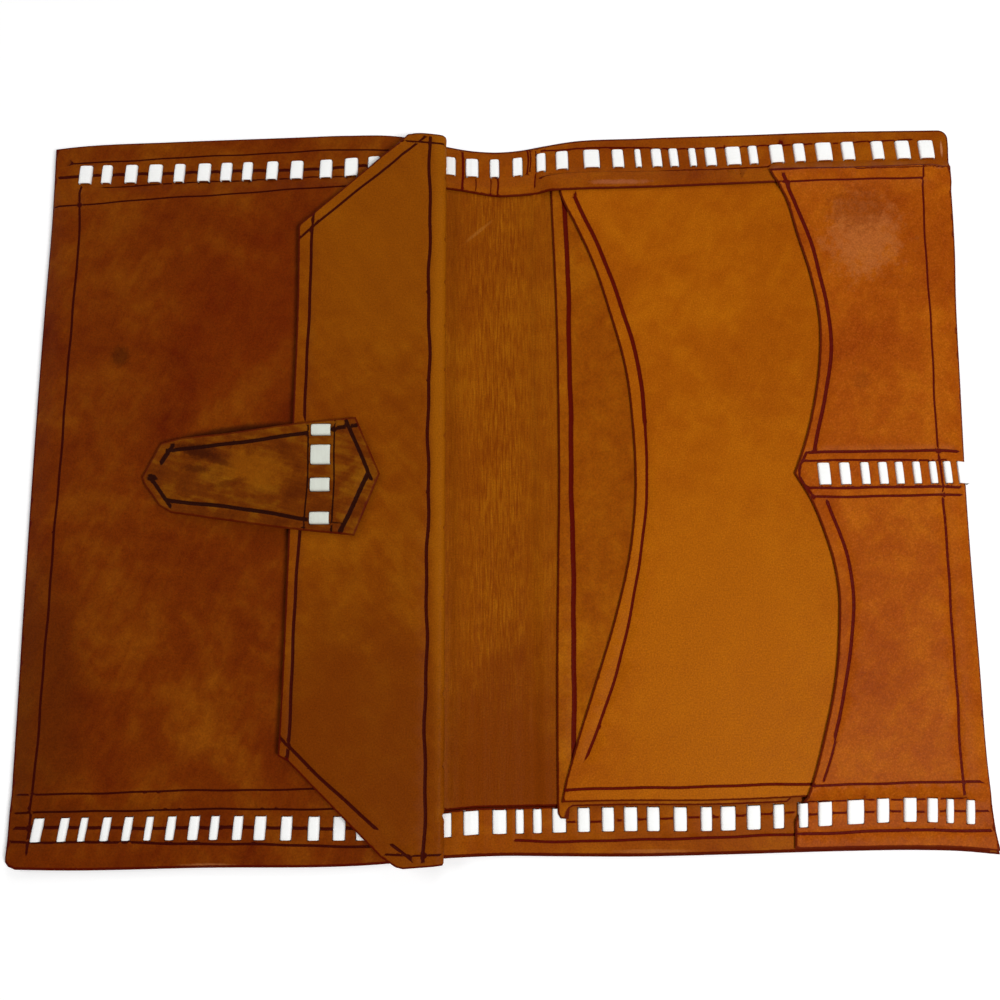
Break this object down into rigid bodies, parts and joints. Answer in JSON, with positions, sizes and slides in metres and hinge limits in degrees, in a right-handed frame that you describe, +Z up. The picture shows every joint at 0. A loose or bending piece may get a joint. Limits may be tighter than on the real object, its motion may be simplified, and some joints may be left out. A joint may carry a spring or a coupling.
{
  "type": "tooled leather wallet",
  "caption": "Hand-made open document wallet in tan leather: flap pocket with laced tab, folding spine, stepped bill and card pockets, white flat lacing and burnished tool lines.",
  "frame": {"origin": "centre of the open wallet's outline, on the surface it lies on", "axes": "+X along the open length from the flap wing to the card wing, +Y from the lower edge to the upper edge, +Z up out of the open inside"},
  "size_m": [0.3, 0.2332, 0.0099],
  "materials": {
    "cover_leather": "goat leather, satin, burnished tool lines",
    "lining_leather": "thin goat leather, satin",
    "strip_leather": "goat leather, satin, burnished tool lines",
    "front_panel_leather": "red-brown goat leather, satin, mottled",
    "flap_leather": "golden brown goat leather, satin, creased",
    "pocket_leather": "golden goat leather, satin",
    "card_pocket_leather": "russet goat leather, satin, worn",
    "stiffener_board": "thin grey board, matt",
    "white_lace": "smooth white flat lace"
  },
  "bodies": {
    "left_wing": {"cover_left": "cover_leather", "stiffener_left": "stiffener_board", "lining_left": "lining_leather", "pocket_front_left": "front_panel_leather", "border_strip_top_left": "strip_leather", "border_strip_bottom_left": "strip_leather", "lace_top_left": "white_lace", "lace_bottom_left": "white_lace"},
    "spine_left": {"cover_spine_left": "cover_leather", "lining_spine_left": "lining_leather", "border_strip_top_spine_left": "strip_leather", "border_strip_bottom_spine_left": "strip_leather", "lace_top_spine_left": "white_lace", "lace_bottom_spine_left": "white_lace"},
    "spine_right": {"cover_spine_right": "cover_leather", "lining_spine_right": "lining_leather", "border_strip_top_spine_right": "strip_leather", "border_strip_bottom_spine_right": "strip_leather", "lace_top_spine_right": "white_lace", "lace_bottom_spine_right": "white_lace"},
    "right_wing": {"cover_right": "cover_leather", "stiffener_right": "stiffener_board", "lining_right": "lining_leather", "border_strip_top_right": "strip_leather", "border_strip_bottom_right": "strip_leather", "pocket_back": "pocket_leather", "pocket_middle": "pocket_leather", "card_pockets": "card_pocket_leather", "lace_top_right": "white_lace", "lace_bottom_right": "white_lace", "lace_middle": "white_lace"},
    "flap": {"flap_leather": "flap_leather", "flap_lining": "lining_leather", "tab_base": "flap_leather", "tab_base_lining": "lining_leather", "lace_tab": "white_lace"},
    "tab": {"tab_tongue": "flap_leather", "tab_tongue_lining": "lining_leather"}
  },
  "joints": [
    {"name": "crease_left", "type": "hinge", "parent": "left_wing", "child": "spine_left", "pos_m": [-0.01165, 0, 0.0035], "axis": [0, -1, 0], "range_deg": [0, 60]},
    {"name": "crease_middle", "type": "hinge", "parent": "spine_left", "child": "spine_right", "pos_m": [-0.0007, 0, 0.0035], "axis": [0, -1, 0], "range_deg": [0, 60]},
    {"name": "crease_right", "type": "hinge", "parent": "spine_right", "child": "right_wing", "pos_m": [0.01025, 0, 0.0035], "axis": [0, -1, 0], "range_deg": [0, 60]},
    {"name": "flap_fold", "type": "hinge", "parent": "left_wing", "child": "flap", "pos_m": [-0.0174, 0, 0.0055], "axis": [0, -1, 0], "range_deg": [-160, 0]},
    {"name": "tab_flex", "type": "hinge", "parent": "flap", "child": "tab", "pos_m": [-0.0652, 0.0006, 0.0092], "axis": [0, -1, 0], "range_deg": [-25, 0]}
  ]
}
